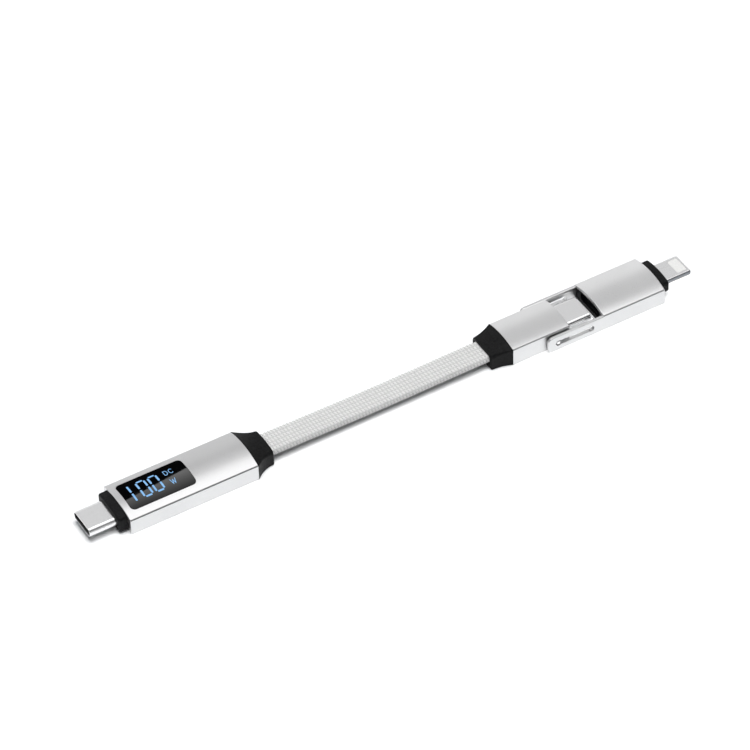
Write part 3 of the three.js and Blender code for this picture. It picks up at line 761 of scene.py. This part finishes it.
def display_window():
    """The black window, arched like the shell and a hair below it."""
    made = window_bar("display_glass", -FIT, lens_low.z, HEIGHT + 1)
    top = crowned_bar("tool", 2 * HALF_WIDTH - 1, meter_low.x, meter_high.x, 1, 0.02)
    combine(made, "INTERSECT", top)
    soften(made, 0.04, lambda p: p.z > ARCH_BASE)
    return piece(made, "cable_assembly", GLASS, ["display_lens"])


meter_piece = meter_case()
lens = display_window()

# ---- Digits and letters: thin lit strips on the window, following its arch ----

STROKE = 0.48
SEGMENT_GAP = 0.23
LETTER_STROKE = 0.17
LETTER_HEIGHT = 0.165


def window_point(along, across):
    """A point of the window, given as shares of its length from the plug and its width from the back."""
    return Vector((lens_low.x + along * (lens_high.x - lens_low.x), lens_high.y * (1 - 2 * across)))


def strip_outline(points, width, closed):
    """Left and right points of a line with mitred corners."""
    left, right = [], []
    count = len(points)
    for i, point in enumerate(points):
        before = points[i - 1] if i or closed else None
        after = points[(i + 1) % count] if i < count - 1 or closed else None
        directions = [(point - before).normalized()] if before is not None else []
        directions += [(after - point).normalized()] if after is not None else []
        mean = sum(directions, Vector((0, 0))).normalized()
        across = Vector((-mean.y, mean.x))
        reach = width / 2 / max(across.dot(Vector((-directions[0].y, directions[0].x))), 0.4)
        left.append(point + across * reach)
        right.append(point - across * reach)
    return left, right


def divided(points, closed, step=0.3):
    """The same line with a point at least every step, so that it can follow the arch."""
    fine = []
    for a, b in zip(points, points[1:] + (points[:1] if closed else [])):
        pieces = max(1, math.ceil((b - a).length / step))
        fine += [a.lerp(b, i / pieces) for i in range(pieces)]
    return fine if closed else fine + [points[-1]]


def add_strip(mesh, points, width, closed=False):
    """Adds a raised strip along the points. Its top and underside follow the window's arch."""
    points = divided(points, closed)
    left, right = strip_outline(points, width, closed)
    if closed:
        pairs = list(zip(left, right)) + [(left[0], right[0])]
    else:
        pairs = cap_pairs(points, width, left, right)
    low, high = [], []
    for a, b in pairs:
        middle = (a + b) / 2
        for row, lift in ((low, -0.05), (high, 0.012)):
            row.append([mesh.verts.new((p.x, p.y, crown(p.y, 0.02) + lift)) for p in (a, middle, b)])
    steps = len(pairs) - 1
    for i in range(steps):
        for j in (0, 1):
            mesh.faces.new((high[i][j], high[i][j + 1], high[i + 1][j + 1], high[i + 1][j]))
            mesh.faces.new((low[i][j], low[i + 1][j], low[i + 1][j + 1], low[i][j + 1]))
        for j in (0, 2):
            mesh.faces.new((high[i][j], high[i + 1][j], low[i + 1][j], low[i][j]))
    if not closed:
        for i in (0, steps):
            for j in (0, 1):
                mesh.faces.new((high[i][j], high[i][j + 1], low[i][j + 1], low[i][j]))


def cap_pairs(points, width, left, right):
    """The strip's left and right points with three narrowing pairs at each end, for round ends."""
    def cap(point, toward, flip):
        out = (point - toward).normalized()
        across = Vector((-out.y, out.x)) * (-1 if flip else 1)
        rows = []
        for angle in (72, 50, 25):
            ahead = out * math.sin(math.radians(angle)) * width / 2
            side = across * math.cos(math.radians(angle)) * width / 2
            rows.append((point + ahead + side, point + ahead - side))
        return rows
    start = cap(points[0], points[1], True)
    end = cap(points[-1], points[-2], False)
    return start + list(zip(left, right)) + end[::-1]


def segment(mesh, a, b):
    """One straight display segment between two window points, shortened to leave gaps."""
    back_off = (b - a).normalized() * (SEGMENT_GAP + STROKE / 2)
    add_strip(mesh, [a + back_off, b - back_off], STROKE)


def digits():
    """The figure 100 in seven-segment digits, with small DC and W beside it."""
    mesh = bmesh.new()
    top, middle, bottom = 0.20, 0.485, 0.77
    one = 0.137
    segment(mesh, window_point(one, top - 0.03), window_point(one, middle))
    segment(mesh, window_point(one, middle), window_point(one, bottom + 0.04))
    for first, last in ((0.264, 0.386), (0.447, 0.567)):
        for along in (first, last):
            segment(mesh, window_point(along, top), window_point(along, middle))
            segment(mesh, window_point(along, middle), window_point(along, bottom))
        for across in (top, bottom):
            segment(mesh, window_point(first, across), window_point(last, across))

    def letter(left, top_edge, width, points, closed=False):
        placed = [window_point(left + u * width, top_edge + (1 - v) * LETTER_HEIGHT) for u, v in points]
        add_strip(mesh, placed, LETTER_STROKE, closed)

    letter(0.680, 0.215, 0.052, [(0.02, 0), (0.02, 1)] + arc(0.45, 0.5, 0.5, 90, -90, 10), True)
    letter(0.757, 0.215, 0.056, arc(0.5, 0.5, 0.5, 45, 315, 15))
    letter(0.690, 0.575, 0.074, [(0, 1), (0.27, 0), (0.5, 0.85), (0.73, 0), (1, 1)])
    return piece(as_object("display_digits", mesh), "cable_assembly", LIT)


digits()

# ---- Black moulded pieces ----

COLLAR_EDGE = 0.55
# The boots' end at the cable: its section, the radius of its lip, and the share of the length before it.
LIP = {"width": 8.9, "sink": 0.9, "bottom": 0.05, "corner": 1.25, "radius": 0.32}
FLARE = 0.94


def opening_for_plug(low, high):
    """The hole that a type-C shell stands in."""
    return stadium_bar("tool", plug_high.y * 2 + 2 * FIT, plug_high.z - plug_low.z + 2 * FIT, low, high)


def opening_for_tongue(low, high):
    """The hole that the eight-pin tongue stands in."""
    width, height = 2 * eight_high.y + 2 * FIT, eight_high.z - eight_low.z + 2 * FIT
    return bar("tool", lambda inset: rounded_rectangle(0, PLUG_Z, width, height, 0.3), low, high)


def collar(name, replaced, body, size, front, back, opening):
    """The ring round a plug. front is its outer end, back the end inside the shell."""
    low, high = min(front, back), max(front, back)
    edges = (COLLAR_EDGE, 0.0) if front < back else (0.0, COLLAR_EDGE)
    made = collar_bar(name, size, low, high, 0.0, *edges)
    cut(made, opening)
    soften(made, 0.07, lambda p: near(p.x, front))
    return piece(made, body, BLACK, [replaced])


front_ring = collar("meter_front_ring", "meter_collar", "cable_assembly", METER_COLLAR,
                    meter_collar_front, meter_low.x + MOUTH_CUT - 0.05,
                    opening_for_plug(meter_low.x - 5, meter_low.x + 5))
collar("adapter_front_ring", "adapter_collar", "adapter", ADAPTER_COLLAR,
       adapter_collar_front, adapter_high.x - MOUTH_CUT + 0.05,
       opening_for_tongue(adapter_high.x - 5, adapter_high.x + 5))


def boot_section(width, bottom, corner, sink):
    """A crowned section with rounder upper corners than lower ones, and its top lowered by sink."""
    inner = width / 2 - corner
    upper = crown(inner) - corner - sink
    lean = math.degrees(math.asin(inner / CROWN_RADIUS))
    foot = width / 2 - EDGE
    top = arc(0, CROWN_CENTRE - sink, CROWN_RADIUS, 90 - lean, 90 + lean, ARCH_STEPS)
    return (arc(inner, upper, corner, 0, 90 - lean, 6) + top[1:-1]
            + arc(-inner, upper, corner, 90 + lean, 180, 6)
            + arc(-foot, bottom + EDGE, EDGE, 180, 270, 4) + arc(foot, bottom + EDGE, EDGE, 270, 360, 4))


def boot(name, replaced, face, end, spigot_end, width, wall):
    """Narrows from a head's section to the cable in a hollow curve, ending in a rounded lip."""
    rows = []
    steps = 18
    length = end - face
    for i in range(steps + 1):
        t = i / steps
        left = (1 - t) ** 2
        section = boot_section(LIP["width"] + (width - LIP["width"]) * left, LIP["bottom"] * (1 - left),
                               EDGE + (LIP["corner"] - EDGE) * t**1.5, LIP["sink"] * (1 - left))
        rows.append((face + length * t * FLARE, section))
    for angle in (30, 60, 90):
        inset = LIP["radius"] * (1 - math.cos(math.radians(angle)))
        ahead = math.sin(math.radians(angle))
        section = boot_section(LIP["width"] - 2 * inset, LIP["bottom"] + inset, LIP["corner"],
                               LIP["sink"] + inset)
        rows.append((face + length * (FLARE + (1 - FLARE) * ahead), section))
    if end < face:
        rows.reverse()
    made = loft(name, rows)
    overlap = face + length * 0.08
    join(made, crowned_bar("tool", width - 2 * wall - 2 * FIT, min(spigot_end, overlap),
                           max(spigot_end, overlap), wall + FIT, wall + FIT))
    cut(made, stadium_bar("tool", CABLE_WIDTH + 0.12, CABLE_THICKNESS + 0.12, min(spigot_end, end) - 1,
                          max(spigot_end, end) + 1, z=CABLE_ROUTE[0][1]))
    soften(made, 0.12, lambda p: near(p.x, end, 0.02) and abs(p.y) < 4)
    return piece(made, "cable_assembly", BLACK, [replaced])


tails = [boot("meter_tail", "meter_boot", meter_high.x + 0.05, meter_boot_end,
              meter_high.x - BOOT_SPIGOT, 2 * HALF_WIDTH, WALL),
         boot("head_tail", "head_boot", head_low.x - 0.05, head_boot_end,
              head_low.x + BOOT_SPIGOT, 2 * head_high.y, HEAD_WALL)]

# ---- Second head ----

ROD_HOLE_RADIUS = 0.61
ROD_DOME = 0.22


def head_case():
    """The second head's shell: a hollow tube with the pivot's two holes in its sides."""
    made = shell_bar("head_case", 2 * head_high.y, head_low.x, head_high.x, 0.08, END_EDGE)
    inside = 2 * (head_high.y - HEAD_WALL)
    cut(made,
        crowned_bar("tool", inside, head_low.x - 1, head_high.x + 1, HEAD_WALL, HEAD_WALL),
        bar("tool", lambda inset: rod_outline(ROD_HOLE_RADIUS), -CUT_REACH, CUT_REACH, axis="Y"))
    soften(made, 0.06, lambda p: p.x > head_high.x - 0.01)
    return piece(made, "cable_assembly", ALUMINIUM, ["head_shell"])


head_piece = head_case()


def plug_shell(name, replaced, tip, root):
    """Seamless type-C shell: flat oval tube with a rolled lip round the mouth."""
    width, height = 2 * plug_high.y, plug_high.z - plug_low.z
    low, high = min(tip, root), max(tip, root)
    edges = (0.14, 0.02) if tip < root else (0.02, 0.14)
    made = stadium_bar(name, width, height, low, high, *edges)
    cut(made, stadium_bar("tool", width - 2 * PLUG_WALL, height - 2 * PLUG_WALL, low - 1, high + 1))
    soften(made, 0.05, lambda p: near(p.x, tip))
    return piece(made, "cable_assembly", STEEL, [replaced])


plugs = [plug_shell("meter_plug", "meter_plug_shell", plug_low.x, plug_high.x),
         plug_shell("head_plug", "head_plug_shell", head_plug_high.x, head_plug_low.x)]


def pivot_pin():
    """The rod that the adapter swings on, with domed ends."""
    radius = (rod_high.x - rod_low.x) / 2
    made = bar("pivot_pin", lambda inset: rod_outline(radius - inset), rod_low.y, rod_high.y,
               ROD_DOME, ROD_DOME, "Y", 5)
    return piece(made, "pivot", STEEL, ["pivot_rod"])


pivot_pin()

# ---- Adapter ----

MOUTH_WIDTH = 8.45
MOUTH_HEIGHT = 2.6
TONGUE_CORNER = 0.55


def arm_plate(side):
    """A side plate with a rounded tail, reaching into the adapter's body."""
    tail = PIVOT_X - ARM_TAIL
    front = ADAPTER_REAR + 0.8

    def outline_at(inset):
        radius = ARM_RADIUS - inset
        return ([(front, inset), (front, ARM_HEIGHT - inset)]
                + arc(tail + ARM_RADIUS, ARM_HEIGHT - ARM_RADIUS, radius, 90, 180, 10)
                + arc(tail + ARM_RADIUS, ARM_RADIUS, radius, 180, 270, 10))
    outer = side * HALF_WIDTH
    inner = outer - side * ARM_THICKNESS
    edges = (EDGE, ARM_INNER_EDGE) if side < 0 else (ARM_INNER_EDGE, EDGE)
    return bar("tool", outline_at, min(outer, inner), max(outer, inner), *edges, "Y")


def slot_tools():
    """The slot through both arms, with a round pocket at each end where the rod rests."""
    far = PIVOT_X + SLOT_LENGTH
    channel = [(PIVOT_X, PIVOT_Z - SLOT_HALF), (far, PIVOT_Z - SLOT_HALF),
               (far, PIVOT_Z + SLOT_HALF), (PIVOT_X, PIVOT_Z + SLOT_HALF)]
    pockets = [arc(x, PIVOT_Z, POCKET_RADIUS, 4, 356, 44) for x in (PIVOT_X, far)]
    for outline in (channel, *pockets):
        yield bar("tool", lambda inset, outline=outline: outline, -CUT_REACH, CUT_REACH, axis="Y")


def adapter_case():
    """The adapter's shell with its two slotted arms."""
    made = shell_bar("adapter_case", 2 * HALF_WIDTH, ADAPTER_REAR, adapter_high.x, 0.12, END_EDGE)
    join(made, arm_plate(-1), arm_plate(1))
    inside = 2 * (HALF_WIDTH - WALL)
    cut(made,
        crowned_bar("tool", inside, ADAPTER_REAR - 0.01, adapter_high.x - FRONT_WALL, WALL, WALL),
        collar_bar("tool", ADAPTER_COLLAR, adapter_high.x - MOUTH_CUT, adapter_high.x + 1, FIT),
        *slot_tools())
    low, high = PIVOT_X - 1, PIVOT_X + SLOT_LENGTH + 1

    def at_slot(p):
        on_face = near(abs(p.y), HALF_WIDTH) or near(abs(p.y), HALF_WIDTH - ARM_THICKNESS)
        return on_face and low < p.x < high and abs(p.z - PIVOT_Z) < 0.9
    soften(made, 0.09, at_slot, segments=3)
    soften(made, 0.08, lambda p: p.x > adapter_high.x - 0.01)
    return piece(made, "adapter", ALUMINIUM, ["adapter_shell"])


adapter_piece = adapter_case()


def adapter_mouth():
    """The black frame round the receptacle's opening."""
    inset = WALL + FIT
    width = 2 * (HALF_WIDTH - inset)
    made = crowned_bar("adapter_mouth", width, bezel_low.x, bezel_high.x, inset, inset, low_edge=0.1)
    seat_width = 2 * receptacle_high.y + 2 * FIT
    seat_height = receptacle_high.z - receptacle_low.z + 2 * FIT
    cut(made,
        stadium_bar("tool", MOUTH_WIDTH, MOUTH_HEIGHT, bezel_low.x - 1, bezel_high.x + 1),
        stadium_bar("tool", seat_width, seat_height, receptacle_low.x - FIT, bezel_high.x + 1))
    soften(made, 0.06, lambda p: near(p.x, bezel_low.x) and abs(p.y) < 5)
    return piece(made, "adapter", BLACK, ["adapter_bezel"])


adapter_mouth()


def eight_pin_plug():
    """A flat tongue with full round edges, round tip corners and a pocket for the contact pad. Its
    narrow sides take the darker steel as painted shade.
    """
    half = eight_high.y
    root = eight_low.x
    corner_x, corner_y = eight_high.x - TONGUE_CORNER, half - TONGUE_CORNER

    def outline_at(inset):
        radius = TONGUE_CORNER - inset
        return ([(root, -half + inset)] + arc(corner_x, -corner_y, radius, -90, 0, 8)
                + arc(corner_x, corner_y, radius, 0, 90, 8) + [(root, half - inset)])
    made = bar("eight_pin_tongue", outline_at, eight_low.z, eight_high.z, 0.5, 0.5, "Z", 6)
    x = (pad_low.x + pad_high.x) / 2
    length, width = pad_high.x - pad_low.x + 0.06, 2 * pad_high.y + 0.06
    cut(made, bar("tool", lambda inset: rounded_rectangle(x, 0, length, width, 0.45, 6), 0, 6, axis="Z"))

    def at_pocket(p):
        on_face = near(p.z, eight_low.z) or near(p.z, eight_high.z)
        return on_face and pad_low.x - 0.2 < p.x < pad_high.x + 0.2 and abs(p.y) < pad_high.y + 0.2
    soften(made, 0.05, at_pocket)
    # The narrow sides get the darker steel: painted shade for the dark surroundings they reflect.
    for polygon in made.data.polygons:
        in_painted_shade = abs(polygon.normal.y) > 0.55 and abs(polygon.center.y) > half - 0.5
        polygon.material_index = 1 if in_painted_shade else 0
    return piece(made, "adapter", [STEEL, PAINTED_SHADE_STEEL], ["eight_pin_frame"])


plugs.append(eight_pin_plug())

# ---- The other CAD nodes keep their shapes ----

FINISHES = {
    "aluminium": ALUMINIUM, "steel": STEEL, "gold_contacts": GOLD, "black_plastic": BLACK,
    "display_glass": GLASS, "braid": YARN, "ivory_plastic": IVORY, "circuit_board": BOARD,
    "chip_plastic": CHIP,
}
for entry in frame["record"]["subparts"]:
    node = nodes[entry["node"]]
    node.data.materials.clear()
    node.data.materials.append(FINISHES[entry["material_slot"]])
# The receptacle inside the mouth takes the darker steel too, as painted shade for the shaded mouth.
nodes["receptacle_shell"].data.materials[0] = PAINTED_SHADE_STEEL

# ---- Table and light ----

TABLE_REACH = 6.0
WINDOW_CARD = 0.31


def table():
    """A wide pale sheet at z = 0."""
    mesh = bmesh.new()
    signs = ((-1, -1), (1, -1), (1, 1), (-1, 1))
    mesh.faces.new([mesh.verts.new((x * TABLE_REACH, y * TABLE_REACH, 0)) for x, y in signs])
    made = as_object("table", mesh)
    look = Look("pale_table", (0.9, 0.9, 0.9), 0.7)
    look.shader.inputs["Specular IOR Level"].default_value = 0.0
    tone = look.spread(look.noise(0.02, 2), 0, 1)
    look.color(look.mix(tone, (0.895, 0.895, 0.895), (0.905, 0.905, 0.905)))
    made.data.materials.append(look.material)
    return made


def linked(name, state, objects):
    """A light-linking collection that includes or excludes the objects."""
    made = bpy.data.collections.new(name)
    for each in objects:
        made.objects.link(each)
    for each in made.collection_objects:
        each.light_linking.link_state = state
    return made


def softbox(name, centre, size, radiance, toward=None, turn=0.0, only=(), never=(), shaded=(),
            unshaded=()):
    """A rectangular light. toward is the point it faces, or it faces down, turned about Z.

    It lights only the objects in only, or all but those in never. Only the objects in shaded cast a
    shadow from it, or all but those in unshaded.
    """
    data = bpy.data.lights.new(name, "AREA")
    data.shape = "RECTANGLE"
    data.size, data.size_y = size
    data.energy = radiance * math.pi * size[0] * size[1]
    made = bpy.data.objects.new(name, data)
    if toward is None:
        made.rotation_euler = (0, 0, math.radians(turn))
    else:
        made.rotation_euler = (Vector(toward) - Vector(centre)).to_track_quat("-Z", "Y").to_euler()
    made.location = centre
    made.visible_camera = False
    bpy.context.scene.collection.objects.link(made)
    linking = made.light_linking
    if only or never:
        state = "INCLUDE" if only else "EXCLUDE"
        linking.receiver_collection = linked(f"{name}_lit", state, only or never)
    if shaded or unshaded:
        state = "INCLUDE" if shaded else "EXCLUDE"
        linking.blocker_collection = linked(f"{name}_shadows", state, shaded or unshaded)
    return made


def window_reflection():
    """The softbox seen in the near half of the display: brightest at its edge, fading away from it."""
    toward_edge = Vector((0.309, 0.637, 0.708))
    across = Vector((-0.918, 0.3955, 0.0407))
    along = across.cross(toward_edge).normalized()
    across = toward_edge.cross(along).normalized()
    length, width = 0.7, 0.3
    edge = Vector((-0.065, 0, 0.0055)) + toward_edge * 0.424
    made = softbox("window_card", edge - across * width / 2, (length, width), WINDOW_CARD, only=[lens])
    rotation = Matrix((along, across, toward_edge)).transposed().to_4x4()
    made.matrix_world = Matrix.Translation(made.location) @ rotation
    made.data.spread = math.radians(66)


def light_scene(floor):
    """Pale walls and cards round the object, and lights for the table alone, which keep it white."""
    world = bpy.data.worlds.new("studio")
    world.use_nodes = True
    world.node_tree.nodes["Background"].inputs["Color"].default_value = (0.03, 0.031, 0.033, 1)
    bpy.context.scene.world = world
    apart = [lens, floor]
    left, right = [meter_piece], [head_piece, adapter_piece]
    softbox("back_wall", (0.4, 2.0, 0.85), (7.0, 1.7), 0.62, toward=(0.4, 0, 0.85), never=apart)
    softbox("ceiling", (0.4, 0.9, 1.7), (7.0, 2.2), 0.41, never=apart)
    softbox("front_wall", (0, -2.0, 0.5), (6.0, 0.9), 0.45, toward=(0, 0, 0.3), never=apart)
    softbox("end_wall", (-2.0, 0.3, 0.7), (3.0, 1.2), 0.45, toward=(0, 0, 0.2), never=apart)
    softbox("left_wall", (0.2, 1.2, 0.8), (4.0, 1.7), 0.15, toward=(0, 0, 0.2), only=left)
    softbox("left_ceiling", (0.2, 0.4, 1.6), (3.0, 1.7), 0.09, only=left)
    softbox("back_card", (0.45, 0.62, 0.28), (1.5, 0.5), 0.14, toward=(0.45, 0, 0.1), only=right)
    softbox("adapter_card", (0.719, 0.540, 0.541), (1.0, 1.05), 0.305, toward=(0.419, -0.060, 0.261),
            only=right)
    edge, away = Vector((0.256, 0.1745, 0.6)), Vector((-0.642, -0.767, 0))
    softbox("left_overhead", edge + away * 0.25, (0.9, 0.44), 1.16, turn=-40, never=apart + right)
    softbox("right_overhead", edge + away * 0.285, (0.9, 0.44), 1.75, turn=-40, only=right)
    window_reflection()
    softbox("plug_card", (0.35, 0.55, 0.6), (1.0, 0.9), 0.24, toward=(0, 0, 0), only=plugs)
    softbox("plug_front", (0.28, -0.55, 0.5), (0.7, 0.6), 0.16, toward=(0, 0, 0),
            only=[plugs[0], plugs[2]])
    fill = softbox("fill", (-0.1, -0.1, 1.2), (1.1, 1.1), 4.0, never=apart)
    fill.visible_glossy = False
    clear = plugs[2:] + [nodes[name] for name in nodes if name.startswith("contact_")]
    softbox("floor_light", (0, -0.255, 1.2), (0.78, 0.78), 5.6, toward=(0, 0, 0), only=[floor],
            unshaded=clear)
    softbox("cable_shade", (0, 0.063, 1.2), (0.47, 0.47), 10.5, toward=(0, 0, 0), only=[floor],
            shaded=[cable, front_ring, *plugs[:2], *tails])
    softbox("floor_soft", (0, -0.2, 1.2), (1.1, 1.1), 0.5, toward=(0, 0, 0), only=[floor])
    haze = softbox("floor_haze", (0, 0, 1.5), (2.0, 2.0), 0.17, only=[floor])
    haze.data.color = (0.5, 0.8, 1.0)
    haze.data.use_shadow = False


light_scene(table())
scene = bpy.context.scene
scene.view_settings.view_transform = "Standard"
scene.view_settings.look = "None"
